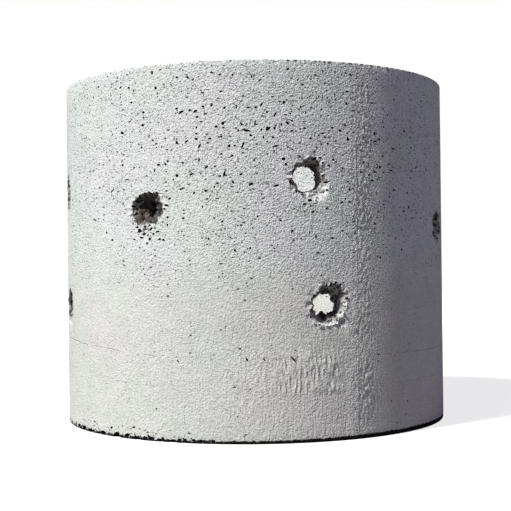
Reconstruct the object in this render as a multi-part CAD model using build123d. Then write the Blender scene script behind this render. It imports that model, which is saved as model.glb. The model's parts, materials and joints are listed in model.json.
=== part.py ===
from build123d import *
import os
from math import cos, radians, sin

# A precast concrete well ring for a soakaway. It was cast on end in a steel mould,
# and its drain holes were knocked through the wall while the concrete was still green.
# Millimetres. Z is up the pipe's axis, the base stands on Z = 0, and the front faces -Y.

# The wall
bore_diameter = 1000.0
wall = 75.0
height = 1000.0
arris_chamfer = 5.0

# Drain holes: a straight neck, a broken mouth outside and a breakout inside
neck_diameter = 68.0
mouth_depth = 30.0
mouth_flare = 14.0
breakout_depth = 18.0
breakout_flare = 10.0
overrun = 8.0

# Holes stand in columns round the pipe, two in one column and one in the next
columns = 8
first_column_bearing = 19.0
column_pitch = 360.0 / columns

# How far the broken edge of a mouth stands from its centre, as shares of its radius,
# going round it. Each hole starts at another place in this list.
mouth_edge_shares = (1.00, 0.91, 1.05, 0.97, 1.12, 0.94, 1.08, 0.89, 1.03, 0.96, 1.07)

# Each hole: its column, its level as a share of the height, how far it strays from
# its column as a share of the pitch, how wide it broke open as a share of the mean,
# and the place in the edge list where its outline starts.
hole_shares = (
    (0, 0.691, -0.013, 0.95, 0),
    (0, 0.357, 0.103, 1.50, 4),
    (1, 0.570, 0.19, 1.08, 7),
    (2, 0.703, 0.04, 1.00, 2),
    (2, 0.342, -0.01, 0.97, 9),
    (3, 0.592, 0.06, 1.04, 5),
    (4, 0.688, 0.01, 0.96, 1),
    (4, 0.366, 0.05, 1.05, 8),
    (5, 0.607, 0.02, 1.00, 3),
    (6, 0.680, -0.02, 1.02, 10),
    (6, 0.350, 0.04, 0.98, 6),
    (7, 0.618, 0.00, 1.00, 1),
)

bore_radius = bore_diameter / 2
outer_radius = bore_radius + wall
neck_radius = neck_diameter / 2


def pipe_wall():
    """The plain ring: one upright wall section, its four arrises taken off, turned."""
    section = Plane.XZ * Pos(bore_radius + wall / 2, height / 2) * Rectangle(wall, height)
    section = chamfer(section.vertices(), arris_chamfer)
    return revolve(section, Axis.Z)


def square_to_hole(bearing, level, distance):
    """The plane square to a hole's centre line, that far out from the pipe's axis."""
    outward = Vector(sin(radians(bearing)), -cos(radians(bearing)), 0)
    return Plane(outward * distance + Vector(0, 0, level), x_dir=(0, 0, 1), z_dir=outward)


def broken_outline(radius, start):
    """The uneven closed edge where the concrete broke away round a hole."""
    shares = mouth_edge_shares[start:] + mouth_edge_shares[:start]
    step = 360.0 / len(shares)
    points = [
        Vector(radius * share, 0).rotate(Axis.Z, step * i)
        for i, share in enumerate(shares)
    ]
    return make_face(Spline(*points, periodic=True))


def funnel(bearing, level, neck_at, face_at, flare, start):
    """A broken funnel from the round neck out to a face of the wall, and past it."""
    run = abs(face_at - neck_at)
    past = face_at + overrun * (face_at - neck_at) / run
    edge_radius = neck_radius + flare * (run + overrun) / run
    neck = square_to_hole(bearing, level, neck_at) * Circle(neck_radius)
    edge = square_to_hole(bearing, level, past) * broken_outline(edge_radius, start)
    return loft([neck, edge])


def drain_hole(column, level_share, stray_share, spread_share, start):
    """What one knocked-through hole takes out of the wall."""
    bearing = first_column_bearing + (column + stray_share) * column_pitch
    level = level_share * height
    middle = square_to_hole(bearing, level, bore_radius + wall / 2)
    neck = middle * Cylinder(neck_radius, wall + 2 * overrun)
    mouth = funnel(
        bearing, level, outer_radius - mouth_depth, outer_radius, mouth_flare * spread_share, start
    )
    breakout = funnel(
        bearing, level, bore_radius + breakout_depth, bore_radius, breakout_flare, start
    )
    return neck + mouth + breakout


def perforated_pipe():
    return pipe_wall() - [drain_hole(*hole) for hole in hole_shares]


cubic_mm_per_litre = 1e6

os.makedirs("parts", exist_ok=True)
pipe = perforated_pipe()
pipe.label = "concrete_pipe"
export_step(pipe, "parts/concrete_pipe.step")
print("solids", len(pipe.solids()), "litres", round(pipe.volume / cubic_mm_per_litre, 3))
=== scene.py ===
import json
import math
import random

import bmesh
import bpy
from mathutils import Matrix, Vector, noise


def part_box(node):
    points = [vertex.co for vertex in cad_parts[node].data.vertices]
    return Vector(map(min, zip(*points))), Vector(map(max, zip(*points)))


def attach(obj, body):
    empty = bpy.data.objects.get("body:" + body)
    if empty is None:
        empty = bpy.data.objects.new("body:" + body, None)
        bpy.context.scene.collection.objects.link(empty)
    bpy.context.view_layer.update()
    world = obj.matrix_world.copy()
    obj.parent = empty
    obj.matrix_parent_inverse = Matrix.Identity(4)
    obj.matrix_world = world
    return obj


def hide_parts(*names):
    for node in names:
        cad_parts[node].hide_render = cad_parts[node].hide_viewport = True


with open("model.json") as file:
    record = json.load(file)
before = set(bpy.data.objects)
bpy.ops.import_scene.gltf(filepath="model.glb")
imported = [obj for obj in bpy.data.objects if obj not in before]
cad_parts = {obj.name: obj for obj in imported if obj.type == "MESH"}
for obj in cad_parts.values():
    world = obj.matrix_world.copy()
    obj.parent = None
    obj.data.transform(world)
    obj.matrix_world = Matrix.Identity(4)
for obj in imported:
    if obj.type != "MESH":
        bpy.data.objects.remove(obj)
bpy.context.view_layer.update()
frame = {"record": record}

# The pipe's wall. It is precast concrete, vibrated while it stood on end between two round
# steel moulds. They leave a skin of cement paste, one upright seam outside, a lift line
# where the second pour began, and drag marks where the outer mould was drawn up.
MM = 0.001
mounts = {mount["name"]: mount for mount in frame["record"]["mounts"]}
low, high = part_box("concrete_pipe")
outer_radius = high.x
bore_radius = mounts["bore"]["dims"]["r_mm"] * MM
height = high.z
wall = outer_radius - bore_radius
arris_round = 3.5 * MM
arris_steps = 3
merged = MM / 100
turn_steps = 240
outer_rows = 44
bore_rows = 6
end_rows = 3

seam_bearing = 32.1
seam_width = 4 * MM
seam_rise = 0.5 * MM


def bearing_of(place):
    """Degrees round the pipe from its front, -Y, towards +X."""
    return math.degrees(math.atan2(place.x, -place.y))


def apart(bearing, other):
    """Degrees from one bearing to another, the short way round."""
    return (bearing - other + 180.0) % 360.0 - 180.0


def outward_at(bearing):
    return Vector((math.sin(math.radians(bearing)), -math.cos(math.radians(bearing)), 0.0))


def wall_frame(bearing, level, reach):
    """A frame on the wall: X along it to the right, Y up, Z outward. Reach is from the axis."""
    outward = outward_at(bearing)
    up = Vector((0, 0, 1))
    turned = Matrix((up.cross(outward), up, outward)).transposed().to_4x4()
    return Matrix.Translation(outward * reach + Vector((0, 0, level))) @ turned


def fade(value, start, end):
    """0 at start and 1 at end, with a soft step between."""
    share = min(max((value - start) / (end - start), 0.0), 1.0)
    return share * share * (3.0 - 2.0 * share)


def on_skin(place):
    """Whether a place is on the outer face or its rounded arrises, not in the bore or on an end."""
    return math.hypot(place.x, place.y) > outer_radius - arris_round / 2


def spun_wall():
    """One upright cut through the wall, its arrises rounded, turned round the axis from the seam."""
    mesh = bmesh.new()
    outline = ((bore_radius, 0.0), (outer_radius, 0.0), (outer_radius, height), (bore_radius, height))
    corners = [mesh.verts.new((x, 0.0, z)) for x, z in outline]
    for corner, following in zip(corners, corners[1:] + corners[:1]):
        mesh.edges.new((corner, following))
    bmesh.ops.bevel(
        mesh, geom=corners, offset=arris_round, offset_type="OFFSET", segments=arris_steps,
        profile=0.5, affect="VERTICES", material=-1,
    )
    # The ends are the edges that run out from the axis, so they have no one distance from it
    for face_x, rows in ((outer_radius, outer_rows), (bore_radius, bore_rows), (None, end_rows)):
        long_edges = [
            edge for edge in mesh.edges
            if edge.calc_length() > wall / 2
            and (abs(edge.verts[0].co.x - edge.verts[1].co.x) > wall / 2) == (face_x is None)
            and (face_x is None or abs(edge.verts[0].co.x - face_x) < MM)
        ]
        bmesh.ops.subdivide_edges(mesh, edges=long_edges, cuts=rows - 1)
    bmesh.ops.spin(
        mesh, geom=mesh.verts[:] + mesh.edges[:], cent=(0, 0, 0), axis=(0, 0, 1), dvec=(0, 0, 0),
        angle=math.tau, steps=turn_steps, use_merge=True, use_duplicate=False,
    )
    bmesh.ops.remove_doubles(mesh, verts=mesh.verts[:], dist=merged)
    bmesh.ops.recalc_face_normals(mesh, faces=mesh.faces[:])
    to_seam = Matrix.Rotation(math.radians(seam_bearing - 90.0), 3, "Z")
    bmesh.ops.rotate(mesh, verts=mesh.verts[:], cent=(0, 0, 0), matrix=to_seam)
    return mesh


def split_faces(mesh, wanted, cuts):
    """Divides the faces of the outer skin that wanted picks by their middles."""
    middles = [(face, face.calc_center_median()) for face in mesh.faces]
    edges = {edge for face, place in middles if on_skin(place) and wanted(place) for edge in face.edges}
    bmesh.ops.subdivide_edges(mesh, edges=list(edges), cuts=cuts, use_grid_fill=True)


pipe_mesh = spun_wall()
# The fin that the mould's joint leaves gets two rows of its own
seam_edges = [
    edge for edge in pipe_mesh.edges
    if all(on_skin(v.co) and abs(apart(bearing_of(v.co), seam_bearing)) < 0.1 for v in edge.verts)
    and abs(edge.verts[0].co.z - edge.verts[1].co.z) > 2 * MM
]
bmesh.ops.bevel(
    pipe_mesh, geom=seam_edges, offset=seam_width / 2, offset_type="OFFSET", segments=2,
    profile=0.5, affect="EDGES", material=-1,
)

# The camera stands as the photograph's did, low and a little tilted. Its distance, height and
# lens were fitted to the outline of the pipe in the photograph's 511 pixel frame.
frame_pixels = 511
focal_pixels = 1083.0
sensor_mm = 36.0
camera_distance = 3384 * MM
camera_level = 469.2 * MM
camera_yaw = 0.033
camera_pitch = 0.4245
camera_roll = -0.6067
view_bearing = 4.0

camera = bpy.data.objects.new("camera", bpy.data.cameras.new("camera"))
camera.data.sensor_width = sensor_mm
camera.data.lens = focal_pixels / frame_pixels * sensor_mm
aimed = (
    Matrix.Rotation(math.radians(view_bearing - camera_yaw), 4, "Z")
    @ Matrix.Rotation(math.radians(90.0 + camera_pitch), 4, "X")
    @ Matrix.Rotation(math.radians(camera_roll), 4, "Z")
)
stand = outward_at(view_bearing) * camera_distance + Vector((0, 0, camera_level))
camera.matrix_world = Matrix.Translation(stand) @ aimed
bpy.context.scene.collection.objects.link(camera)
bpy.context.scene.camera = camera


def seen_at(x, y):
    """Bearing and level of the place on the outer face that a pixel of the photograph shows."""
    ray = aimed @ Vector((x - frame_pixels / 2, frame_pixels / 2 - y, -focal_pixels))
    square = ray.x ** 2 + ray.y ** 2
    half = stand.x * ray.x + stand.y * ray.y
    beyond = stand.x ** 2 + stand.y ** 2 - outer_radius ** 2
    place = stand + ray * (-half - math.sqrt(half ** 2 - square * beyond)) / square
    return bearing_of(place), place.z


# The drain holes. Each was knocked through with a bar while the concrete was green, so it
# has a rough round neck, a mouth that spalled away outside and a shallower breakout inside.
# The dark stone and the torn mortar show in it. Finishes are the pipe's, by number.
skin_finish, torn_finish, shaded_void_finish, paste_finish, stone_finish = range(5)
mouth_depth = 30 * MM
breakout_depth = 18 * MM
breakout_flare = 10 * MM
past_skin = 14 * MM
# Radii of the mouths that show, in mm, going round each from its right
mouth_radii = {
    "drain_hole_12": (50, 50, 48, 41, 40, 44, 50, 56, 48, 43, 49, 50),
    "drain_hole_01": (41, 43, 54, 50, 47, 46, 47, 49, 43, 40, 44, 49),
    "drain_hole_02": (45, 53, 56, 52, 48, 49, 51, 57, 56, 48, 45, 42),
}
plain_mouth = (48, 45, 51, 46, 50, 43, 47, 52, 46, 49, 44, 50)
stone_size = 17 * MM
stone_reach = {"drain_hole_12": 12 * MM, "drain_hole_01": 9 * MM, "drain_hole_02": 9 * MM}
plain_stone_reach = 9 * MM
torn_edge = 8 * MM
torn_teeth = 3.5 * MM
torn_until = 4 * MM
neck_lumps = ((2.2 * MM, 13 * MM, 3.0), (1.3 * MM, 5.5 * MM, 9.0))
neck_room = 3 * MM
least_radius = 1.5 * MM
# Large stones left standing in a neck: degrees round it, depth, how far each stands in, its
# half width in degrees and its half height, in mm
large_stones = {
    "drain_hole_12": (
        (185, 37, 25, 62, 17), (183, 60, 27, 75, 15), (135, 31, 18, 38, 13), (5, 26, 19, 40, 12),
        (-55, 33, 24, 44, 15),
        (65, 36, 22, 44, 15), (-115, 29, 18, 36, 13), (-15, 40, 18, 38, 12), (-48, 17, 15, 26, 10),
        (-95, 14, 11, 22, 9), (178, 24, 12, 22, 9), (102, 22, 13, 24, 9), (45, 18, 12, 20, 9),
        (216, 16, 12, 18, 9), (75, 9, 6, 14, 6), (142, 10, 8, 16, 7), (-20, 9, 6, 14, 6),
        (-78, 7, 5, 20, 8), (-132, 9, 7, 18, 8), (14, 11, 7, 18, 8), (-50, 6, 4, 16, 7),
    ),
    "drain_hole_02": (
        (262, 46, 13, 30, 16), (222, 60, 11, 26, 12), (296, 30, 9, 20, 9), (95, 20, 7, 20, 9),
    ),
    "drain_hole_01": ((60, 24, 8, 26, 10), (215, 50, 6, 24, 10)),
}
plain_large_stones = (
    (205, 44, 12, 32, 13), (50, 30, 11, 28, 11), (-40, 22, 9, 22, 9), (120, 58, 10, 26, 11),
)
stone_shows = 3 * MM
# Where pale paste was smeared over a mouth's edge: from and to in degrees, and how deep in mm
smeared = {
    "drain_hole_12": ((163, 215, 8), (12, 48, 7)),
    "drain_hole_01": ((-100, 35, 11),),
    "drain_hole_02": ((-165, 30, 10),),
}
plain_smeared = ((-120, 40, 9),)
lip_hole = "drain_hole_02"
lip_rise = 8 * MM
lip_width = 5.5 * MM
# Where the skin crumbled beside a mouth: right and up from the hole, and the patch's radius, in mm
crumbled = {
    "drain_hole_12": (-4, -62, 13),
    "drain_hole_01": (20, -26, 40),
    "drain_hole_02": (38, -48, 14),
}
plain_crumbled = (19, -28, 30)
crumble_depth = 7.5 * MM
crater_share = 0.22
crater_width = 27 * MM
ray_depth = 3.8 * MM
ray_degrees = 9.0


class DrainHole:
    """One hole's place in the wall and the outline of its mouth."""

    def __init__(self, name, order):
        mount = mounts[name]
        self.name = name
        self.bearing = bearing_of(Vector(mount["axis"]))
        self.level = mount["pos_m"][2]
        self.neck_radius = mount["dims"]["r_mm"] * MM
        started = plain_mouth[order:] + plain_mouth[:order]
        self.mouth = [radius * MM for radius in mouth_radii.get(name, started)]
        self.stone_reach = stone_reach.get(name, plain_stone_reach)
        self.crumbled = [value * MM for value in crumbled.get(name, plain_crumbled)]
        self.smeared = smeared.get(name, plain_smeared)
        turned = [(degrees + 70 * order, *size) for degrees, *size in plain_large_stones]
        self.large_stones = large_stones.get(name, turned)
        self.shows = name in mouth_radii

    def mouth_at(self, angle):
        """The mouth's radius at an angle round it, in radians from the right."""
        place = (angle % math.tau) / math.tau * len(self.mouth)
        before = int(place) % len(self.mouth)
        share = place - int(place)
        return self.mouth[before] * (1 - share) + self.mouth[(before + 1) % len(self.mouth)] * share

    def in_face(self, place):
        """Right and up from the hole's centre line, over the wall's face."""
        return math.radians(apart(bearing_of(place), self.bearing)) * outer_radius, place.z - self.level


hole_names = sorted(name for name in mounts if name.startswith("drain_hole"))
holes = [DrainHole(name, order) for order, name in enumerate(hole_names)]


def rough(place, size, seed):
    """Smooth noise from -1 to 1 whose bumps are about that size."""
    return noise.noise(place / size + Vector((seed, seed * 1.7, seed * 0.6)))


def stones(place, size, seed):
    """How far broken stones of about that size stand out, from 0 in the joints between them to 1."""
    distances, points = noise.voronoi(place / size + Vector((seed, 0, seed * 2.1)))
    joint = min((distances[1] - distances[0]) / 0.45, 1.0)
    return math.sqrt(joint) * (0.25 + 0.75 * noise.cell(points[0] * 5.3))


def standing_in(hole, angle, depth):
    """How far the hole's large stones stand into it there."""
    most = 0.0
    for degrees, middle, stands, half_width, half_height in hole.large_stones:
        across = apart(math.degrees(angle), degrees) / half_width
        along = (depth / MM - middle) / half_height
        off = across * across + along * along
        if off < 1.0:
            most = max(most, stands * MM * math.sqrt(1.0 - off))
    return most


def hole_radius(hole, angle, depth, place):
    """How far the hole's surface stands from its centre line, at a depth below the skin."""
    neck_end = wall - breakout_depth
    near_skin = 1 - fade(depth, torn_until, mouth_depth)
    if depth < mouth_depth:
        share = 1.0 - depth / mouth_depth
        base = hole.neck_radius + (hole.mouth_at(angle) - hole.neck_radius) * share ** 1.1
    elif depth > neck_end:
        base = hole.neck_radius + breakout_flare * (depth - neck_end) / breakout_depth
    else:
        base = hole.neck_radius
    base += near_skin * (torn_edge * rough(place, 9 * MM, 21.0) + torn_teeth * rough(place, 5 * MM, 27.0))
    base += sum(rise * rough(place, size, seed) for rise, size, seed in neck_lumps)
    base += neck_room - standing_in(hole, angle, depth)
    base -= hole.stone_reach * stones(place, stone_size, 5.0) * (1 - 0.5 * near_skin)
    return max(base, least_radius)


def hole_cutter(mesh, hole, angle_steps, row_size):
    """What one hole takes out of the wall, added to the mesh of cutters."""
    inner = bore_radius - past_skin
    length = wall + 2 * past_skin
    rows = round(length / row_size)
    cutter = bmesh.new()
    line = [
        cutter.verts.new((hole.neck_radius, 0.0, inner + length * row / rows))
        for row in range(rows + 1)
    ]
    for vert, following in zip(line, line[1:]):
        cutter.edges.new((vert, following))
    bmesh.ops.spin(
        cutter, geom=cutter.verts[:] + cutter.edges[:], cent=(0, 0, 0), axis=(0, 0, 1),
        dvec=(0, 0, 0), angle=math.tau, steps=angle_steps, use_merge=True, use_duplicate=False,
    )
    bmesh.ops.remove_doubles(cutter, verts=cutter.verts[:], dist=merged)
    placed = wall_frame(hole.bearing, hole.level, 0.0)
    for face in cutter.faces:
        middle = face.calc_center_median()
        angle = math.atan2(middle.y, middle.x)
        reach = 0.0
        for start, end, smear in hole.smeared:
            aside = abs(apart(math.degrees(angle), (start + end) / 2)) / (end - start) * 2
            reach += smear * MM * (1 - fade(aside, 0.75, 1.05))
        if outer_radius - middle.z < reach * (0.65 + 1.1 * rough(placed @ middle, 6 * MM, 41.0)):
            face.material_index = paste_finish
        elif standing_in(hole, angle, outer_radius - middle.z) > stone_shows:
            face.material_index = stone_finish
        else:
            face.material_index = torn_finish
    for vert in cutter.verts:
        angle = math.atan2(vert.co.y, vert.co.x)
        depth = outer_radius - vert.co.z
        radius = hole_radius(hole, angle, depth, placed @ vert.co)
        vert.co.x = math.cos(angle) * radius
        vert.co.y = math.sin(angle) * radius
    rims = [edge for edge in cutter.edges if edge.is_boundary]
    bmesh.ops.holes_fill(cutter, edges=rims, sides=0)
    bmesh.ops.recalc_face_normals(cutter, faces=cutter.faces[:])
    bmesh.ops.transform(cutter, matrix=placed, verts=cutter.verts[:])
    piece = bpy.data.meshes.new("hole_cutter")
    cutter.to_mesh(piece)
    cutter.free()
    mesh.from_mesh(piece)
    bpy.data.meshes.remove(piece)


# Those that show are made finer: how far round them the skin is split and how often, then how
# many steps go round the cutter and how tall its rows are
hole_cutters = bmesh.new()
for shows, reach, cuts, angle_steps, row_size in (
    (True, 74 * MM, 5, 100, 2.6 * MM), (False, 68 * MM, 2, 54, 4.2 * MM),
):
    picked = [hole for hole in holes if hole.shows == shows]
    split_faces(pipe_mesh, lambda place: any(math.hypot(*h.in_face(place)) < reach for h in picked), cuts)
    for hole in picked:
        hole_cutter(hole_cutters, hole, angle_steps, row_size)

# The relief of the skin: a faint waviness from the mould, the seam's fin, cords of drawn paste
# in the drag marks, the raised lip under one hole, and the crumbled skin by the mouths.
skin_waves = ((0.7 * MM, 190 * MM, 1.0), (0.4 * MM, 60 * MM, 6.0))
foot_wear = 2 * MM
bore_waviness = 0.8 * MM
end_margin = 1 * MM
# The bearings and the levels that the drag marks lie between
drag_zone = (2.0, 29.0, 118 * MM, 236 * MM)
cord_rise = 2.3 * MM
cord_share = 0.28
# The mould leaked at its seam, which left beads along it and rough paste in a band beside it,
# from and to in degrees past it
leak_degrees = (-3.0, 6.0)
leak_rise = 1.9 * MM
# Round the mouths
relief_reach = 95 * MM
edge_grain = 1.4 * MM
edge_sunk = 0.8 * MM
crumb_size = 9 * MM


def in_drag_zone(place):
    start, end, bottom, top = drag_zone
    return start < bearing_of(place) < end and bottom < place.z < top


def in_leak(place):
    past = apart(bearing_of(place), seam_bearing)
    beside = leak_degrees[0] < past < leak_degrees[1] and abs(past) > 0.3
    return beside and 30 * MM < place.z < 0.96 * height


split_faces(pipe_mesh, lambda place: place.z < 18 * MM, 2)
split_faces(pipe_mesh, in_drag_zone, 5)
split_faces(pipe_mesh, in_leak, 4)


def skin_rise(place):
    """How far the outer skin stands out from the true cylinder at a place."""
    bearing = bearing_of(place)
    rise = sum(tall * rough(place, size, seed) for tall, size, seed in skin_waves)

    # The seam's fin in beads, the knobs beside it, and the foot's wear
    past_seam = apart(bearing, seam_bearing)
    if abs(past_seam) * math.radians(1) * outer_radius < 0.2 * seam_width:
        beads = 0.9 + 1.5 * rough(place, 9 * MM, 16.0)
        rise += seam_rise * beads * fade(rough(place, 110 * MM, 8.0), -0.4, 0.1)
    leaked = fade(past_seam, leak_degrees[0], 0.0) * (1 - fade(past_seam, 3.5, leak_degrees[1]))
    if leaked > 0.0:
        knobs = rough(Vector((place.x, place.y, 0.5 * place.z)), 5.5 * MM, 23.0)
        rise += leak_rise * leaked * knobs * (0.75 + 0.8 * rough(place, 70 * MM, 26.0))
    if place.z < 24 * MM:
        rise -= foot_wear * fade(place.z, 16 * MM, 2 * MM) * (0.6 + rough(place, 14 * MM, 31.0))

    # The cords sway from side to side, and are fewest at the left end of their zone
    start, end, bottom, top = drag_zone
    inside = fade(bearing, start, start + 3) * (1 - fade(bearing, end - 5, end))
    inside *= fade(place.z, bottom, bottom + 25 * MM) * (1 - fade(place.z, top - 12 * MM, top))
    if inside > 0.0:
        swayed = math.radians(bearing) * outer_radius + 9 * MM * rough(place, 34 * MM, 2.5)
        drawn = noise.noise(Vector((swayed / (13 * MM), place.z / (46 * MM), 3.0)))
        here = 0.4 + 0.6 * fade(bearing, 7.0, 12.0)
        rise += cord_rise * inside * here * max(0.0, 1.0 - abs(drawn) / cord_share)

    # Rays and grain round a mouth, the crumbled patch beside it and the lip under one of them
    for hole in holes:
        right, up = hole.in_face(place)
        if math.hypot(right, up) > relief_reach:
            continue
        angle = math.atan2(up, right)
        beyond = math.hypot(right, up) - hole.mouth_at(angle)
        degrees = math.degrees(angle)
        near_edge = 1 - fade(beyond, 5 * MM, 20 * MM)
        lip = 0.0
        if hole.name == lip_hole:
            lip = fade(degrees, -150.0, -110.0) * (1 - fade(degrees, -5.0, 25.0))
        rays = (1 - lip) * noise.noise(Vector((degrees / ray_degrees, beyond / (30 * MM), hole.bearing)))
        rise += near_edge * (ray_depth * rays + edge_grain * rough(place, 6.5 * MM, 14.0) - edge_sunk)
        aside, above, reach = hole.crumbled
        patch = 1 - fade(math.hypot(right - aside, up - above), 0.55 * reach, reach)
        lumps = stones(place, crumb_size, 12.0)
        rise += crumble_depth * patch * (lumps - 0.6)
        rise -= crater_share * reach * patch * (1 - min(max(beyond / crater_width, 0.0), 1.0))
        rise += lip_rise * lip * (1.2 * lumps + 0.2) * math.exp(-((beyond - 3 * MM) / lip_width) ** 2)
    return rise


def crumbs_at(place):
    """Whether the skin there has crumbled to loose paste, beside a mouth or on its raised lip."""
    for hole in holes:
        right, up = hole.in_face(place)
        if math.hypot(right, up) > relief_reach:
            continue
        aside, above, reach = hole.crumbled
        ragged = 0.25 * reach * rough(place, crumb_size, 51.0)
        if math.hypot(right - aside, up - above) < 0.85 * reach + ragged:
            return True
        angle = math.atan2(up, right)
        on_lip = -145.0 < math.degrees(angle) < 15.0 and hole.name == lip_hole
        if on_lip and math.hypot(right, up) - hole.mouth_at(angle) < 1.3 * lip_width + ragged:
            return True
    return False


for face in pipe_mesh.faces:
    middle = face.calc_center_median()
    if on_skin(middle) and crumbs_at(middle):
        face.material_index = paste_finish

for vert in pipe_mesh.verts:
    radius = math.hypot(vert.co.x, vert.co.y)
    if on_skin(vert.co) and end_margin < vert.co.z < height - end_margin:
        scale = (radius + skin_rise(vert.co)) / radius
    elif radius < bore_radius + end_margin:
        scale = (radius + bore_waviness * rough(vert.co, 90 * MM, 18.0)) / radius
    else:
        scale = 1.0
    vert.co.x *= scale
    vert.co.y *= scale
    inside_edges = bore_radius + 6 * MM < radius < outer_radius - 6 * MM
    if inside_edges and vert.co.z > height - end_margin:
        vert.co.z -= 0.9 * MM * (0.5 + rough(vert.co, 40 * MM, 19.0))

# The pits in the skin. Air bubbles that the vibrating didn't drive out stayed against the
# mould, most of them in the upper pour, and their insides are coloured dark as painted shade.
# Round the mouths the blows tore short notches, coloured the same. The larger pits are cut here,
# and thousands of small ones are material, darkened there with painted shade too.
void_seed = 11
void_count = 460
pit_gap = 1.2 * MM
least_width, common_span, rare_span = 4.4, 2.6, 5.8
# Pits are looked up by cells of this size
cell_degrees = 2.5
cell_rise = 25 * MM
# How crowded the voids are at shares of the height
void_levels = (
    (0.03, 0.02), (0.30, 0.02), (0.42, 0.10), (0.52, 0.40), (0.64, 0.75), (0.72, 1.0),
    (0.86, 1.0), (0.90, 0.6), (0.975, 0.5),
)
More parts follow.
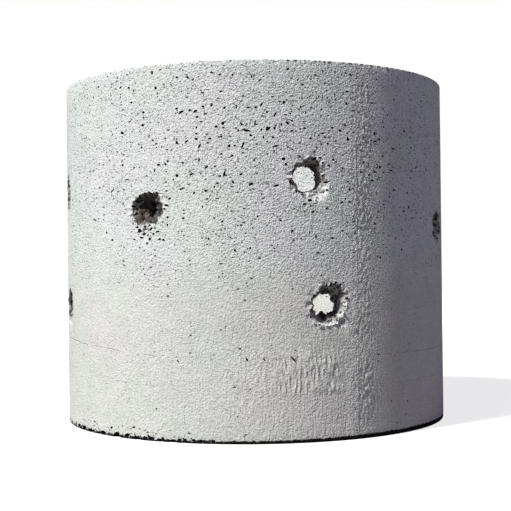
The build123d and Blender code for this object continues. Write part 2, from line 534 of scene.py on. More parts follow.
# The largest that show: where in the photograph's frame, how wide and tall they look there in
# mm, and degrees turned
seen_voids = (
    (152, 72.3, 5.5, 6.5, 0), (98.3, 86.9, 6, 4.5, 0), (120.8, 87.3, 7, 4.5, 30),
    (129, 88, 6, 4.5, -30), (155.7, 88, 6.5, 5.5, 0), (131.6, 102.5, 6.5, 4.5, 0),
    (143.3, 112.5, 7, 5.5, 0), (143.3, 117.5, 4.5, 8, 0), (142.7, 125.3, 8, 5.5, 0),
    (129.8, 121.5, 9, 3.5, 25), (122.4, 133.1, 10, 5.5, -15), (125.8, 130.9, 5, 3.5, 45),
    (176.7, 77.3, 6.5, 5, 0), (186.8, 77, 7, 4, 0), (193, 79.6, 6, 4, 0), (211.6, 72.6, 8, 4.5, 0),
    (219.8, 74.5, 8, 4, 40), (232.4, 74.8, 4.5, 7, 0), (251.4, 76.5, 4, 7, 0), (202.3, 92.8, 7.5, 4, 0),
    (221, 91.3, 8, 4.5, 10), (211.6, 105, 6, 7.5, 0), (202.8, 106.6, 6.5, 5, 0),
    (224.6, 107.7, 6.5, 5, 30), (236.4, 107.5, 5, 6.5, 0), (248.3, 107.4, 8.5, 4, 0),
    (255.6, 107.3, 6.5, 5.5, 0), (176.6, 108.5, 6.5, 5.5, 0), (175.6, 113.4, 4.5, 4, 0),
    (181.3, 112, 14, 6, 25), (189.7, 110.3, 6.5, 5.5, 0), (195, 111.3, 11, 5.5, 25),
    (197.2, 117, 7, 5.5, 0), (204.6, 114.1, 4.5, 5.5, 0), (168.2, 130, 7, 3.5, 0),
    (222.7, 123.4, 8, 7, 40), (216.2, 126.8, 6.5, 5, 0), (223.4, 127.6, 6.5, 4, 0),
    (241.4, 123.8, 8.5, 4.5, -50), (255, 122.7, 11, 4, 72), (247, 130.4, 15, 6, -12),
    (238.3, 130.5, 4, 8, 0), (196.4, 127.5, 4, 6, 0), (196.4, 133.7, 6, 5, 0),
    (221.3, 136.5, 6, 5.5, 0), (209.8, 138.6, 8, 5, 0), (196.3, 139, 6.5, 6.5, 0),
    (250.9, 135.3, 6.5, 5, 0), (260, 80, 11, 4, 20), (287.9, 69.1, 6.5, 5, 30), (298, 79.3, 6, 4, 30),
    (302.7, 84.7, 6.5, 5, 0), (315.3, 75, 7, 5, 0), (322.9, 71.5, 4, 6.5, 0), (324.7, 83, 5.5, 4.5, 0),
    (318.9, 96.5, 5.5, 4.5, 0), (272.6, 96.6, 7.5, 4, 0), (261.4, 104.5, 11, 4.5, 52),
    (283.8, 102.6, 9, 5.5, 60), (267.2, 112, 7, 4.5, 0), (275, 114.3, 11, 5, 55),
    (300.8, 107, 5, 6.5, 0), (305.8, 112.5, 4, 8, 0), (290.3, 113.5, 5, 6, 50), (321, 109.8, 6, 4.5, 0),
    (346, 103.2, 6, 5.5, 0), (275.6, 125.5, 5, 5, 0), (287.3, 122.8, 9, 5, -45),
    (291.8, 120.5, 7, 3.5, 0), (281.5, 124.6, 4, 8, 0), (268, 128.7, 14, 6.5, 32),
    (261.4, 129.8, 4.5, 8, 0), (274.6, 128.4, 6, 5, 0), (280.5, 131, 5, 6, 0), (291.5, 131, 7, 4, 0),
    (295.8, 131, 5, 5, 0), (300.5, 129, 5, 5.5, 0), (304.7, 128.2, 7, 5.5, 0),
    (332.1, 127.8, 5.5, 5.5, 0), (339.8, 130.6, 6.5, 6, 0), (322.7, 133.4, 7.5, 5, 0),
    (318.8, 135.3, 4.5, 5.5, 0), (325, 137, 5.5, 6, 0), (310.6, 138.6, 8, 4.5, 0),
    (347.9, 139, 9, 7, -40), (272.6, 137, 8.5, 4, -20), (263.5, 136.9, 4.5, 9, 0),
    (350.5, 75, 9, 4.5, 0), (345.9, 73.3, 5, 6, 0), (347, 91.7, 9.5, 3.6, 0), (344.7, 125.2, 9, 4, 0),
    (374.6, 133.5, 6, 8, 0), (404.2, 131, 5.5, 5.5, 0), (379.2, 139.3, 8, 5, -20),
    (374.8, 141.3, 6.5, 4.5, 0), (156, 143.8, 10, 3.2, 15), (141.6, 147.6, 4.5, 6.5, 0),
    (122.6, 165.2, 7, 5.5, 20), (158.4, 164.9, 9, 4.5, 0), (165, 164, 5.5, 5, 0),
    (154.5, 170.5, 4.5, 9, -20), (146.8, 175.8, 4.5, 6, 0), (126.5, 179.7, 7.5, 4, 20),
    (111.8, 191.4, 7.5, 4.5, 25), (176.7, 142.4, 5.5, 7.5, 0), (186.4, 141.4, 8.5, 3.6, 25),
    (199.3, 146.1, 11, 5, 55), (199.1, 160, 4.5, 10, 0), (182.8, 162.8, 6, 5, 0),
    (167.5, 161.2, 6, 5, 0), (206.4, 167.1, 9, 4.5, 30), (215, 166.3, 7, 4, 0), (221, 154, 6, 5, 0),
    (229.2, 145.8, 6, 6, 0), (234.7, 145.8, 6, 5, 0), (242.7, 145.2, 22, 5, 67),
    (242.7, 152.7, 7, 3.6, 20), (231.8, 156, 8, 4.5, 35), (254, 160.2, 6, 5, 0), (177, 175.5, 8, 7, 0),
    (173.3, 179.7, 4.5, 5, 0), (191, 174, 11.5, 4.5, 25), (182.5, 188.5, 14, 4, 22),
    (193.9, 193, 7, 5, 35), (205.6, 190.8, 6.5, 6.5, 0), (214.4, 187, 4, 8, 0),
    (217.5, 183.3, 7, 4.5, 0), (219.7, 176, 7, 4.5, 0), (224.3, 173.8, 14, 4.5, 76),
    (233, 182, 6, 6.5, 0), (241, 174.2, 8, 5, 30), (251, 184.2, 13, 5, 24), (217, 198.5, 11, 3.4, 0),
    (202.4, 207, 5, 5.5, 0), (275.6, 146, 11, 4.5, 0), (288, 146.8, 5.5, 6, 0),
    (283.6, 159.1, 10, 7, 0), (286.1, 164.3, 6.5, 6.5, 0), (317, 147.8, 5.5, 6, 0),
    (314.4, 151.5, 7, 5, 40), (321.4, 144.2, 5, 5.5, 0), (327.9, 143.6, 5, 5.5, 0),
    (333.3, 159.8, 6, 6, 0), (329, 165.6, 7, 5, 0), (275.8, 185.8, 14, 4.5, 8),
    (327.2, 208.2, 7.5, 4.5, 25), (313, 212, 8, 4.5, 30), (345.4, 198.8, 5, 5, 0),
    (342, 202.3, 7, 4.5, 0), (349.9, 202, 9.5, 4, 0), (347.9, 181.6, 6, 4.5, 0),
    (349.5, 189.4, 6, 5, 0), (363.4, 161.9, 6, 5.5, 0), (380, 167.2, 6.5, 7, 0),
    (361, 172.2, 7.5, 4.5, 0), (375, 172, 10, 4, 0), (369.3, 175, 6, 6, 0), (372.4, 180.6, 6.5, 5, 0),
    (382.7, 156.4, 6, 5, 0), (393, 148.9, 8, 4.5, 0), (391, 170.6, 6.5, 5, 0), (393.8, 190, 5, 6.5, 0),
    (407, 193, 9, 4, 20), (409, 207.3, 5, 8, -20), (403.9, 211, 6, 5, 0), (94.2, 219.5, 6, 4, 0),
    (106.6, 232.7, 5, 5.5, 0), (112.4, 240, 6.5, 5.5, 0), (183.3, 218.2, 8, 4, 15),
    (208.5, 238.7, 4.5, 6.5, -20), (222.3, 221.5, 6, 4, 30), (241, 225.2, 6.5, 4.5, 0),
    (257.7, 216.5, 4.5, 6, 0), (252.6, 228, 4.5, 5.5, 0), (245.7, 233.4, 5.5, 4.5, 0),
    (250.2, 248, 6, 4.5, 30), (235, 250.2, 6, 4.5, 50), (316, 236.5, 4.5, 11, 0),
    (309.7, 232.6, 5.5, 5.5, 0), (292.3, 231, 6, 5, 0), (301.1, 238.7, 5, 5, 0),
    (271.9, 245.6, 5.5, 4.5, 0), (274.3, 248.5, 5.5, 4.5, 0), (260, 258, 7.5, 4, 0),
    (318.2, 252.8, 8, 4.5, 0), (346.8, 233.8, 4, 6, 0), (332.5, 238.2, 6, 4.5, 0),
    (280.6, 220.6, 6, 4, 0), (354, 222, 5, 6, 0), (375.5, 223.8, 5.5, 5.5, 0),
    (401.7, 249.6, 5.5, 5.5, 0), (380.5, 257.5, 5.5, 5.5, 0), (321.4, 275.6, 5.5, 4.5, 0),
    (247, 283.2, 5, 4.5, 0), (178, 361, 7, 4, -60), (247, 359.6, 9, 4, -58), (264.2, 359.6, 8, 4, -50),
    (293.6, 359.3, 20, 4.5, -50), (291, 181.4, 13, 10, 0),
)
# What the blows tore beside the mouths, the same way. Their insides are painted shade like the pits'.
notches = (
    (139.6, 230.8, 9, 8, -20), (143.6, 234.2, 7, 6, 0), (147.8, 234.6, 4.5, 6, 0),
    (142, 237.8, 10, 3.6, 0), (150.8, 229, 8, 4.5, 40), (147.2, 230.4, 4, 3.5, 0),
    (154.4, 228, 4.5, 3, 20), (136.7, 227.3, 7, 4.5, 0), (149.8, 239, 5.5, 6.5, 0),
    (134.4, 239.5, 5, 4, 0), (147, 243.2, 5, 4, 0), (159.4, 239.3, 6.5, 4.5, 0),
    (163.4, 240, 6, 4.5, 0), (157.5, 231.7, 9, 3.6, 12), (153.5, 234, 4.5, 5, 0),
    (144.8, 226.6, 5, 4, 0), (149.6, 225.2, 5, 4, 0), (162.6, 222, 4.5, 4.5, 0),
    (167.5, 225, 4.5, 6, 0), (167.6, 217.3, 5, 4.5, 0), (166.3, 205.2, 9, 5, -10),
    (164.3, 208.8, 5, 5, 0), (169.6, 198.6, 7, 4.5, 25), (139, 197.8, 6.5, 7, 0),
    (150.7, 193.8, 7, 6, 0), (156.7, 193.4, 6.5, 7, 0), (132.8, 206.4, 8, 5, 0),
    (133, 223.5, 4, 8, -15), (323.2, 175.3, 10, 4, 25), (321.6, 171.7, 6, 4.5, -30),
    (327.3, 181.9, 13, 3.6, 10), (323.6, 179.2, 4, 3, -25), (296.3, 191, 4.5, 9, 15),
    (303, 194.2, 10, 3, -52), (310.2, 200.2, 9, 6, 0), (310.6, 205.2, 4, 6, 0),
    (304.8, 204, 8, 4.5, 10), (316.4, 200.3, 4, 6, 0), (315.2, 203.5, 6, 3, 0), (327.6, 190, 5, 4.5, 0),
    (318.6, 192, 4.5, 5, 0), (322.5, 163, 7, 4, 30), (320.5, 158, 6, 4.5, 0), (315.5, 158.3, 7, 5, 40),
    (342.6, 302.5, 5, 5, 0), (346.8, 298.4, 7, 5, 10), (342.6, 293.8, 6, 6, 0), (339.8, 310, 4, 4, 0),
    (338.2, 314.8, 4, 4, 0), (334.2, 319.9, 5, 4.5, 0), (325, 322.9, 5, 4, 0), (319.8, 324.9, 6, 4, 0),
    (314.8, 296, 7, 6, 30), (327, 284.5, 4, 8, 10), (331, 283.5, 4, 8, -10), (335.8, 282.4, 6, 5, 0),
    (340.6, 284.6, 4, 7, 20),
)
# Each is cut wider than it looks, as its soft rim hides some of it, and deeper than half its width
notch_growth, notch_deeper = 1.38, 5 * MM
void_growth, void_deeper = 1.2, 2.2 * MM
plain_notches = 9
# The front that the photograph shows, in degrees each way, has its large voids in the table
seen_half = 66.0


def void_share(level):
    """How common voids are at a level, as a share of the most crowded one."""
    for (start, share), (end, following) in zip(void_levels, void_levels[1:]):
        if start <= level / height < end:
            return share + (following - share) * (level / height - start) / (end - start)
    return 0.0


taken = {}
finer_from = 7 * MM


def reach_toward(width, tall, turn, angle):
    """How far a turned oval reaches from its middle towards an angle, in radians from the right."""
    off = angle - math.radians(turn)
    return math.hypot(width * math.cos(off), tall * math.sin(off)) / 2


def take_room(bearing, level, *oval):
    """Keeps a place for a pit of that width, height and turn, unless another one is in its way."""
    bearing = apart(bearing, 0.0)
    column, row = round(bearing / cell_degrees), round(level / cell_rise)
    near = [
        pit for c in (column - 1, column, column + 1) for r in (row - 1, row, row + 1)
        for pit in taken.get((c, r), ())
    ]
    for other_bearing, other_level, *other in near:
        along = math.radians(apart(bearing, other_bearing)) * outer_radius
        angle = math.atan2(level - other_level, along)
        both = reach_toward(*oval, angle) + reach_toward(*other, angle)
        if math.hypot(along, level - other_level) < 1.06 * both + pit_gap:
            return False
    taken.setdefault((column, row), []).append((bearing, level, *oval))
    return True


def pit_cutter(mesh, bearing, level, size, turn, finish, lumps=0.28, sunk=0.08):
    """A lumpy hollow: size is along the wall, up it and into it, turn is in the wall's face."""
    width, tall, deep = size
    rise = skin_rise(outward_at(bearing) * outer_radius + Vector((0, 0, level)))
    frame_here = wall_frame(bearing, level, outer_radius + rise - sunk * width)
    turned = frame_here @ Matrix.Rotation(math.radians(turn), 4, "Z")
    shape = turned @ Matrix.Diagonal((width / 2, tall / 2, deep, 1.0))
    steps = 2 if width > finer_from else 1
    made = bmesh.ops.create_icosphere(mesh, subdivisions=steps, radius=1.0, matrix=shape)
    middle = frame_here.translation
    for vert in made["verts"]:
        vert.co = middle + (vert.co - middle) * (1.0 + lumps * rough(vert.co, width * 0.6, 2.0))
    for face in {face for vert in made["verts"] for face in vert.link_faces}:
        face.material_index = finish


pit_cutters = bmesh.new()
for pits, grown, deeper in (
    (notches, notch_growth, notch_deeper), (seen_voids, void_growth, void_deeper),
):
    for x, y, width, tall, turn in sorted(pits, key=lambda pit: -pit[2] * pit[3]):
        bearing, level = seen_at(x, y)
        width *= grown * MM / math.cos(math.radians(bearing - view_bearing))
        tall *= grown * MM
        if take_room(bearing, level, width, tall, turn):
            size = (width, tall, 0.5 * min(width, tall) + deeper)
            pit_cutter(pit_cutters, bearing, level, size, turn, shaded_void_finish, 0.32)

draw = random.Random(void_seed)
for hole in holes:
    for number in range(0 if hole.shows else plain_notches):
        angle = math.tau * (number + draw.uniform(-0.2, 0.2)) / plain_notches
        size = (draw.uniform(9, 18) * MM, draw.uniform(3.5, 6) * MM, draw.uniform(2.5, 5) * MM)
        reach = hole.mouth_at(angle) + 0.25 * size[0]
        bearing = hole.bearing + math.degrees(math.cos(angle) * reach / outer_radius)
        level = hole.level + math.sin(angle) * reach
        turn = math.degrees(angle)
        if take_room(bearing, level, *size[:2], turn):
            pit_cutter(pit_cutters, bearing, level, size, turn, shaded_void_finish, 0.4)


def clear_of_mouths(place, margin):
    for hole in holes:
        right, up = hole.in_face(place)
        if math.hypot(right, up) < hole.mouth_at(math.atan2(up, right)) + torn_edge + margin:
            return False
    return True


cut_voids = 0
while cut_voids < void_count:
    bearing = draw.uniform(-179.0, 179.0)
    level = draw.uniform(0.03, 0.975) * height
    seen = abs(apart(bearing, view_bearing)) < seen_half
    width = (least_width + (common_span if seen else rare_span) * draw.random() ** 1.7) * MM
    tall = width * draw.uniform(0.45, 0.9)
    turn = draw.uniform(-15.0, 55.0)
    chance = draw.random()
    place = outward_at(bearing) * outer_radius + Vector((0, 0, level))
    rows = rough(Vector((place.x * 0.3, place.y * 0.3, place.z)), 38 * MM, 4.0)
    crowd = 0.75 + 0.9 * rough(place, 150 * MM, 4.0) + 0.9 * rows
    if chance > void_share(level) * crowd or not clear_of_mouths(place, width):
        continue
    if take_room(bearing, level, width, tall, turn):
        pit_cutter(pit_cutters, bearing, level, (width, tall, 0.5 * width), turn, shaded_void_finish)
        cut_voids += 1

# The worn ends. The bottom arris was chipped and ground off as the pipe was walked and rolled
# on its end, most on the left of the front, and its lowest chips are painted near-black as contact
# shadow. The top outer arris has lost small flakes, most on the right, those at the front coloured
# dark inside as painted shade.
wear_seed = 5
foot_pits = 190
# Where they crowd: a middle bearing and how far each way
foot_crowds = ((-46.0, 5.0), (-31.0, 4.5), (-39.0, 12.0), (0.0, 180.0))
# Rows of chips: from and to bearings, the arris, levels from it and widths in mm, how tall a chip
# is as a share of its width, the largest gap in mm, and the finish
chip_rows = (
    (-60.0, -11.0, 0.0, (2, 9), (9, 30), 0.5, 3, torn_finish),
    (-11.0, 40.0, 0.0, (1, 3), (5, 14), 0.6, 30, torn_finish),
    (40.0, 300.0, 0.0, (1, 5), (6, 20), 0.7, 45, torn_finish),
    (12.0, 88.0, height, (-2, 0), (5, 13), 0.75, 5, shaded_void_finish),
    (88.0, 372.0, height, (-1, 1), (5, 14), 0.5, 70, torn_finish),
)
draw = random.Random(wear_seed)
for start, end, arris, levels, widths, share_tall, gap, finish in chip_rows:
    bearing = start
    while bearing < end:
        width = draw.uniform(*widths) * MM
        bearing += math.degrees((0.7 * width + pit_gap + gap * MM * draw.random()) / outer_radius)
        level = arris + draw.uniform(*levels) * MM
        if take_room(bearing, level, 1.3 * width, 1.3 * width, 0.0):
            size = (width, width * share_tall * draw.uniform(0.7, 1.3), width * 0.3)
            pit_cutter(pit_cutters, bearing, level, size, draw.uniform(-12, 12), finish, 0.5, 0.0)
        bearing += math.degrees(0.7 * width / outer_radius)

for number in range(foot_pits):
    middle, spread = foot_crowds[number % len(foot_crowds)]
    bearing = draw.uniform(-spread, spread) + draw.uniform(-spread, spread) + middle
    width = (5.0 + 8.0 * draw.random() ** 1.5) * MM
    level = (9 + 24 * draw.random() ** 1.8) * MM
    if take_room(bearing, level, 1.15 * width, width, 0.0):
        size = (1.1 * width, width * draw.uniform(0.4, 0.8), width * 0.5)
        pit_cutter(pit_cutters, bearing, level, size, draw.uniform(-25, 25), torn_finish, 0.4)


def mesh_object(name, mesh):
    data = bpy.data.meshes.new(name)
    mesh.to_mesh(data)
    mesh.free()
    thing = bpy.data.objects.new(name, data)
    bpy.context.scene.collection.objects.link(thing)
    return thing


# The concrete. Its skin is cement paste, pale grey and matte, cooler in the upper pour and
# warmer below, with fine sand in it. Where it is broken, brown-grey mortar and stones show.


def linear(code):
    """A colour written as sRGB hex, as the shader wants it."""
    parts = [int(code[i:i + 2], 16) / 255 for i in (1, 3, 5)]
    return tuple(p / 12.92 if p <= 0.04045 else ((p + 0.055) / 1.055) ** 2.4 for p in parts) + (1.0,)


def add(tree, kind, *values, inputs=None, **settings):
    """Adds a node. The values go to its first inputs. A node or an output among them is linked."""
    made = tree.nodes.new("ShaderNode" + kind)
    for name, setting in settings.items():
        setattr(made, name, setting)
    for socket, value in {**dict(enumerate(values)), **(inputs or {})}.items():
        if isinstance(value, bpy.types.Node):
            value = value.outputs[0]
        if isinstance(value, bpy.types.NodeSocket):
            tree.links.new(value, made.inputs[socket])
        else:
            made.inputs[socket].default_value = value
    return made


smooth = {"interpolation_type": "SMOOTHSTEP"}
in_colour = {"data_type": "RGBA"}


def new_material(name):
    material = bpy.data.materials.new(name)
    material.use_nodes = True
    material.node_tree.nodes.clear()
    return material, material.node_tree


def finish_material(tree, colour, relief, roughness):
    """Cement is a rough dielectric, so its sheen is slight. The relief is in millimetres."""
    bump = add(tree, "Bump", inputs={"Strength": 1.0, "Distance": MM, "Height": relief})
    shader = add(tree, "BsdfPrincipled", inputs={
        "Base Color": colour, "Normal": bump, "Roughness": roughness, "Specular IOR Level": 0.25,
    })
    add(tree, "OutputMaterial", shader)


def pores(tree, place, cell, largest, common):
    """1 in the mouths of round pores of many sizes. common is the share of the cells that have one."""
    cells = add(tree, "TexVoronoi", place, inputs={"Scale": 1 / cell})
    chance = add(tree, "SeparateColor", cells.outputs["Color"]).outputs
    size = add(tree, "Math", chance["Red"], 0.7, 0.3, operation="MULTIPLY_ADD")
    size = add(tree, "Math", size, largest / cell, operation="MULTIPLY")
    there = add(tree, "Math", chance["Green"], common, operation="LESS_THAN")
    size = add(tree, "Math", size, there, operation="MULTIPLY")
    core = add(tree, "Math", size, 0.6, operation="MULTIPLY")
    return add(tree, "MapRange", cells, size, core, **smooth)


def cement_skin():
    """Vibrated concrete as the steel mould left it: paste, sand grain and open pores."""
    material, tree = new_material("mould_faced_concrete")
    place = add(tree, "TexCoord").outputs["Object"]
    axes = add(tree, "SeparateXYZ", place).outputs
    level_rows = add(tree, "Mapping", place, inputs={"Scale": (0.3, 0.3, 1.0)})
    upright = add(tree, "Mapping", place, inputs={"Scale": (1.0, 1.0, 0.2)})
    # Noises, each with its size in mm, detail and roughness
    clouds, patches, bands, sand, stain, sway, broken, edge, grain, leather, drawn = [
        add(tree, "TexNoise", where, inputs={"Scale": 1 / (size * MM), "Detail": detail, "Roughness": fine})
        for where, size, detail, fine in (
            (place, 200, 3, 0.5), (place, 60, 2, 0.5), (level_rows, 45, 2, 0.5), (place, 5.5, 2, 0.6),
            (place, 50, 4, 0.6), (place, 120, 2, 0.5), (place, 35, 2, 0.5), (place, 9, 3, 0.6),
            (place, 4.5, 2, 0.55), (place, 9, 1, 0.5), (upright, 7, 1, 0.5),
        )
    ]

    # Pores are common in the upper pour and crowd in loose level rows
    wander = add(tree, "Math", clouds, 0.16, axes["Z"], operation="MULTIPLY_ADD")
    upper = add(tree, "MapRange", wander, 0.44, 0.58, **smooth)
    crowded = add(tree, "MapRange", wander, 0.62, 0.82, **smooth)
    common = add(tree, "Math", upper, 0.46, 0.14, operation="MULTIPLY_ADD")
    common = add(tree, "Math", crowded, 0.42, common, operation="MULTIPLY_ADD")
    for noise_node, *span in ((patches, 0.30, 0.62, 0.45, 1.15), (bands, 0.35, 0.60, 0.55, 1.25)):
        share = add(tree, "MapRange", noise_node, *span, **smooth)
        common = add(tree, "Math", common, share, operation="MULTIPLY")

    # Three sizes of them, the cells' and the largest pores' in mm, and how far painted shade darkens
    # each. The small ones look less dark
    flat = add(tree, "Mapping", place, inputs={"Scale": (1.0, 1.0, 1.5)})
    fewer = add(tree, "Math", common, 0.08, operation="SUBTRACT")
    pitted = 0.0
    for where, cell, largest, share, dark in (
        (flat, 16, 4.8, fewer, 1.0), (flat, 8.5, 2.9, fewer, 0.92), (place, 5.0, 1.7, common, 0.78),
    ):
        mouths = add(tree, "Math", pores(tree, where, cell * MM, largest * MM, share), dark,
                     operation="MULTIPLY")
        pitted = add(tree, "Math", pitted, mouths, operation="MAXIMUM")

    # Cement paste: green-grey and lilac-grey above, a little warmer below
    tint = add(tree, "MapRange", clouds, 0.35, 0.65, **smooth)
    pours = [
        add(tree, "Mix", tint, inputs={6: linear(one), 7: linear(other)}, **in_colour).outputs[2]
        for one, other in (("#D9DBD8", "#DCDADA"), ("#DEE3E2", "#E3E2E7"))
    ]
    colour = add(tree, "Mix", upper, inputs={6: pours[0], 7: pours[1]}, **in_colour).outputs[2]
    for noise_node, *span in ((sand, 0.32, 0.66, 0.85, 1.04), (stain, 0.35, 0.65, 0.94, 1.0)):
        shade = add(tree, "MapRange", noise_node, *span, **smooth)
        colour = add(tree, "Mix", 1.0, inputs={6: colour, 7: shade}, **in_colour,
                     blend_type="MULTIPLY").outputs[2]

    # The lift line between the pours, and a fainter one below where the mould was topped up. Both
    # rise to the left, sway, break off here and there and fade in the middle of the front
    rising = add(tree, "Math", axes["X"], -0.093, -18.6 * MM, operation="MULTIPLY_ADD")
    rising = add(tree, "Math", rising, 0.0, operation="MAXIMUM")
    sway = add(tree, "Math", sway, 14 * MM, -7 * MM, operation="MULTIPLY_ADD")
    line_level = add(tree, "Math", axes["Z"], rising, operation="SUBTRACT")
    line_level = add(tree, "Math", line_level, sway, operation="SUBTRACT")
    line = 0.0
    for line_at, half_width, strength in ((222, 1.8, 1.0), (141, 1.6, 0.45)):
        off = add(tree, "Math", line_level, line_at * MM, operation="SUBTRACT")
        off = add(tree, "Math", off, operation="ABSOLUTE")
        there = add(tree, "MapRange", off, half_width * MM, 0.4 * MM, **smooth)
        line = add(tree, "Math", there, strength, line, operation="MULTIPLY_ADD")
    aside = add(tree, "Math", axes["X"], 90 * MM, operation="SUBTRACT")
    aside = add(tree, "Math", aside, operation="ABSOLUTE")
    for value, *span in ((broken, 0.36, 0.56), (aside, 240 * MM, 330 * MM, 0.12, 1.0)):
        share = add(tree, "MapRange", value, *span, **smooth)
        line = add(tree, "Math", line, share, operation="MULTIPLY")

    # Painted contact shadow along the foot, a near-black band, higher on the right towards the shade
    # side and more ragged on the left
    right = add(tree, "MapRange", axes["X"], 50 * MM, 500 * MM, **smooth)
    reach = add(tree, "Math", right, 5 * MM, 10 * MM, operation="MULTIPLY_ADD")
    edge = add(tree, "Math", edge, 0.5, operation="SUBTRACT")
    ragged = add(tree, "MapRange", axes["X"], 0.0, -200 * MM, 12 * MM, 62 * MM, **smooth)
    reach = add(tree, "Math", edge, ragged, reach, operation="MULTIPLY_ADD")
    shadow_full_below = add(tree, "Math", reach, 2 * MM, operation="SUBTRACT")
    painted_foot_shadow = add(tree, "MapRange", axes["Z"], reach, shadow_full_below, **smooth)

    # What darkens the paste, by how much and to what: painted shade in the pores, the lift line, and
    # the painted contact shadow on the foot
    for part, share, tone in ((pitted, 0.88, "#363433"), (line, 0.42, "#6F6A66"), (painted_foot_shadow, 1.0, "#14110F")):
        dark = add(tree, "Math", part, share, operation="MULTIPLY")
        colour = add(tree, "Mix", dark, inputs={6: colour, 7: linear(tone)}, **in_colour).outputs[2]

    # Relief in millimetres: sand, the leathery paste, and upright drag in the lower pour
    low_part = add(tree, "MapRange", wander, 0.52, 0.36, **smooth)
    drawn = add(tree, "Math", drawn, low_part, operation="MULTIPLY")
    relief = 0.0
    for noise_node, tall in ((grain, 1.9), (leather, 1.3), (drawn, 1.7)):
        relief = add(tree, "Math", noise_node, tall, relief, operation="MULTIPLY_ADD")
    coarser = add(tree, "Math", upper, 0.45, 0.9, operation="MULTIPLY_ADD")
    relief = add(tree, "Math", relief, coarser, operation="MULTIPLY")

    # The mould leaked a little at its seam, so the paste is rougher on both sides of it
    along = wall_frame(seam_bearing, 0.0, 0.0).col[0].xyz
    beside = add(tree, "VectorMath", place, along, operation="DOT_PRODUCT").outputs["Value"]
    beside = add(tree, "Math", beside, 15 * MM, operation="SUBTRACT")
    beside = add(tree, "Math", beside, operation="ABSOLUTE")
    leaked = add(tree, "MapRange", beside, 60 * MM, 20 * MM, **smooth)
    ahead = add(tree, "VectorMath", place, outward_at(seam_bearing), operation="DOT_PRODUCT")
    near_side = add(tree, "Math", ahead.outputs["Value"], 0.0, operation="GREATER_THAN")
    leaked = add(tree, "Math", leaked, near_side, operation="MULTIPLY")
    relief = add(tree, "Math", relief, leaked, relief, operation="MULTIPLY_ADD")
    relief = add(tree, "Math", pitted, -2.2, relief, operation="MULTIPLY_ADD")
    relief = add(tree, "Math", line, -0.8, relief, operation="MULTIPLY_ADD")
    finish_material(tree, colour, relief, 0.88)
    return material


def stone_colour(tree, cells):
    """Crushed stone: some red-brown, some blue-grey, one tone to a cell."""
    tone = add(tree, "SeparateColor", cells.outputs["Color"]).outputs
    brown, grey = [
        add(tree, "Mix", tone["Red"], inputs={6: linear(one), 7: linear(other)}, **in_colour).outputs[2]
        for one, other in (("#534B4B", "#716866"), ("#404044", "#555559"))
    ]
    kind = add(tree, "MapRange", tone["Green"], 0.55, 0.65, **smooth)
    return add(tree, "Mix", kind, inputs={6: brown, 7: grey}, **in_colour).outputs[2]


def broken_concrete():
    """Concrete torn while green: pale crumbly mortar with stones. Near the ground, painted contact shadow
    turns it near-black.
    """
    material, tree = new_material("broken_concrete")
    place = add(tree, "TexCoord").outputs["Object"]
    dust = add(tree, "TexNoise", place, inputs={"Scale": 1 / (4 * MM), "Detail": 3.0})
    mortar = add(tree, "Mix", dust, inputs={6: linear("#868482"), 7: linear("#C0BEBC")}, **in_colour)
    cells = add(tree, "TexVoronoi", place, inputs={"Scale": 1 / (13 * MM)})
    is_stone = add(tree, "MapRange", cells, 0.50, 0.34, **smooth)
    pair = {6: mortar.outputs[2], 7: stone_colour(tree, cells)}
    colour = add(tree, "Mix", is_stone, inputs=pair, **in_colour).outputs[2]
    # Low down it fades to near-black, painted contact shadow in the chips at the foot
    level = add(tree, "SeparateXYZ", place).outputs["Z"]
    painted_foot_shadow = add(tree, "MapRange", level, 46 * MM, 28 * MM, **smooth)
    colour = add(tree, "Mix", painted_foot_shadow, inputs={6: colour, 7: linear("#171412")}, **in_colour).outputs[2]
    crumbs = add(tree, "TexNoise", place, inputs={"Scale": 1 / (4 * MM), "Detail": 3.0, "Roughness": 0.6})
    crumbs = add(tree, "Math", crumbs, 2.0, operation="MULTIPLY")
    lumps = add(tree, "TexNoise", place, inputs={"Scale": 1 / (9 * MM)})
    relief = add(tree, "Math", lumps, 3.0, crumbs, operation="MULTIPLY_ADD")
    finish_material(tree, colour, relief, 0.95)
    return material


def painted_void_shade():
    """The inside of an air void or notch: a dark colour as painted shade, mottled a little."""
    material, tree = new_material("void_painted_shade")
    place = add(tree, "TexCoord").outputs["Object"]
    dust = add(tree, "TexNoise", place, inputs={"Scale": 1 / (5 * MM)})
    colour = add(tree, "Mix", dust, inputs={6: linear("#2A2828"), 7: linear("#5E5A59")}, **in_colour)
    relief = add(tree, "TexNoise", place, inputs={"Scale": 1 / (2 * MM)})
    finish_material(tree, colour.outputs[2], relief, 0.9)
    return material


def smeared_paste():
    """Pale paste that the blows pushed up and broke into crumbs at the mouths."""
    material, tree = new_material("smeared_paste")
    place = add(tree, "TexCoord").outputs["Object"]
    shade = add(tree, "TexNoise", place, inputs={"Scale": 1 / (5 * MM), "Detail": 3.0, "Roughness": 0.6})
    shade = add(tree, "MapRange", shade, 0.30, 0.62, **smooth)
    colour = add(tree, "Mix", shade, inputs={6: linear("#868688"), 7: linear("#EAEAEC")}, **in_colour)
    crumbs = add(tree, "TexNoise", place, inputs={"Scale": 1 / (5 * MM), "Roughness": 0.6})
    relief = add(tree, "Math", crumbs, 2.5, operation="MULTIPLY")
    finish_material(tree, colour.outputs[2], relief, 0.92)
    return material


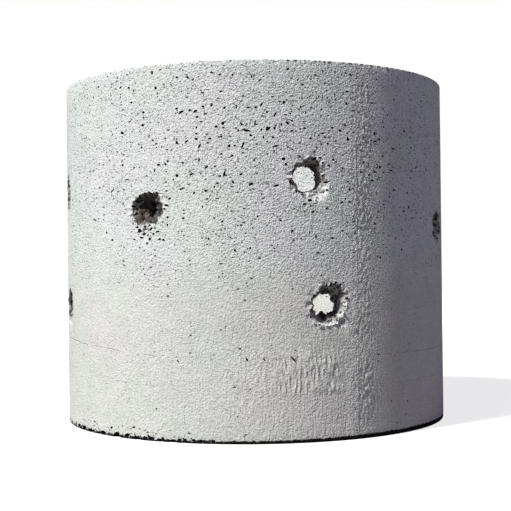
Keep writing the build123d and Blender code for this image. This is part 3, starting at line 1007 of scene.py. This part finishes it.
def dark_stone():
    """The faces of large crushed stones, speckled, with dark joints between them."""
    material, tree = new_material("crushed_stone")
    place = add(tree, "TexCoord").outputs["Object"]
    cells = add(tree, "TexVoronoi", place, inputs={"Scale": 1 / (15 * MM)})
    speckle = add(tree, "TexNoise", place, inputs={"Scale": 1 / (3 * MM), "Detail": 3.0, "Roughness": 0.6})
    speckle = add(tree, "MapRange", speckle, 0.25, 0.75, 0.7, 1.25, **smooth)
    colour = add(tree, "Mix", 1.0, inputs={6: stone_colour(tree, cells), 7: speckle}, **in_colour,
                 blend_type="MULTIPLY").outputs[2]
    joint = add(tree, "MapRange", cells, 0.42, 0.64, 0.0, 0.45, **smooth)
    colour = add(tree, "Mix", joint, inputs={6: colour, 7: linear("#1E1B1A")}, **in_colour).outputs[2]
    grain = add(tree, "TexNoise", place, inputs={"Scale": 1 / (4 * MM), "Detail": 3.0, "Roughness": 0.6})
    grain = add(tree, "Math", grain, 1.6, operation="MULTIPLY")
    relief = add(tree, "Math", cells, -4.0, grain, operation="MULTIPLY_ADD")
    finish_material(tree, colour, relief, 0.85)
    return material


def take_out(thing, cutters, name):
    """Leaves the thing's mesh with what the closed cutters overlap taken out of it."""
    cutter = mesh_object(name, cutters)
    for finish in thing.data.materials:
        cutter.data.materials.append(finish)
    cut = thing.modifiers.new(name, "BOOLEAN")
    cut.operation = "DIFFERENCE"
    cut.solver = "MANIFOLD"
    cut.object = cutter
    bpy.context.view_layer.update()
    shaped = bpy.data.meshes.new_from_object(thing.evaluated_get(bpy.context.evaluated_depsgraph_get()))
    thing.modifiers.clear()
    whole = thing.data
    thing.data = shaped
    bpy.data.meshes.remove(whole)
    bpy.data.objects.remove(cutter)


def clean(thing):
    """Drops what the cuts left over: slivers, corners of two faces alone, and loose scraps."""
    mesh = bmesh.new()
    mesh.from_mesh(thing.data)
    bmesh.ops.dissolve_degenerate(mesh, dist=merged, edges=mesh.edges[:])
    for again in range(corner_rounds):
        corners = [vert for vert in mesh.verts if len(vert.link_edges) == 2]
        bmesh.ops.dissolve_verts(mesh, verts=corners)
    unseen, scraps = set(mesh.faces), []
    while unseen:
        part, queue = [], [unseen.pop()]
        while queue:
            part.append(queue.pop())
            beside = {other for edge in part[-1].edges for other in edge.link_faces} & unseen
            unseen -= beside
            queue += beside
        if len(part) < scrap_faces:
            scraps += part
    bmesh.ops.delete(mesh, geom=scraps, context="FACES")
    mesh.to_mesh(thing.data)
    mesh.free()


# The pipe as it is seen, in one mesh. Its finishes stand in the order of their numbers above.
corner_rounds = 3
scrap_faces = 20
sharp_from = math.radians(38)

pipe = mesh_object("precast_pipe", pipe_mesh)
for finish in (cement_skin(), broken_concrete(), painted_void_shade(), smeared_paste(), dark_stone()):
    pipe.data.materials.append(finish)
take_out(pipe, hole_cutters, "holes")
take_out(pipe, pit_cutters, "pits")
clean(pipe)
pipe.data.shade_smooth()
pipe.data.set_sharp_from_angle(angle=sharp_from)
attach(pipe, "root")
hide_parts("concrete_pipe")

# The studio: a pale floor that shows white and keeps a soft shadow, one large soft lamp high
# on the left, and a dim cool fill from all round.
lamp_bearing = view_bearing - 51.5
lamp_height = 50.0
fill_bearing = view_bearing + 82.0
fill_height = 36.0
fill_colour = (1.0, 0.91, 1.28)
floor_half = 14.0


def studio_floor():
    mesh = bmesh.new()
    bmesh.ops.create_grid(mesh, x_segments=1, y_segments=1, size=floor_half)
    floor = mesh_object("floor", mesh)
    material, tree = new_material("pale_floor")
    rays = add(tree, "LightPath").outputs
    dim = add(tree, "BsdfDiffuse", linear("#6A6A69"))
    lit = add(tree, "BsdfDiffuse", linear("#A6A6A4"))
    glow = add(tree, "Emission", (1, 1, 1, 1), 0.75)
    both = add(tree, "AddShader", lit, glow)
    seen = add(tree, "Math", rays["Is Camera Ray"], rays["Is Transmission Ray"], operation="MAXIMUM")
    add(tree, "OutputMaterial", add(tree, "MixShader", seen, dim, both))
    floor.data.materials.append(material)


def far_lamp(name, energy, colour, spread, bearing, rise):
    lamp = bpy.data.lights.new(name, "SUN")
    lamp.energy = energy
    lamp.angle = math.radians(spread)
    lamp.color = colour
    thing = bpy.data.objects.new(name, lamp)
    toward = outward_at(bearing) * math.cos(math.radians(rise))
    toward.z = math.sin(math.radians(rise))
    thing.rotation_euler = toward.to_track_quat("Z", "Y").to_euler()
    bpy.context.scene.collection.objects.link(thing)


def studio_light():
    far_lamp("key", 5.2, (0.99, 1.0, 0.945), 7, lamp_bearing, lamp_height)
    far_lamp("fill", 0.24, fill_colour, 40, fill_bearing, fill_height)
    world = bpy.data.worlds.new("studio")
    world.use_nodes = True
    tree = world.node_tree
    tree.nodes.clear()
    fill = add(tree, "Background", (*fill_colour, 1.0), 0.088)
    white = add(tree, "Background", (1, 1, 1, 1), 1.0)
    rays = add(tree, "LightPath").outputs
    seen = add(tree, "Math", rays["Is Camera Ray"], rays["Is Transmission Ray"], operation="MAXIMUM")
    add(tree, "OutputWorld", add(tree, "MixShader", seen, fill, white))
    bpy.context.scene.world = world
    bpy.context.scene.view_settings.view_transform = "Standard"


studio_floor()
studio_light()
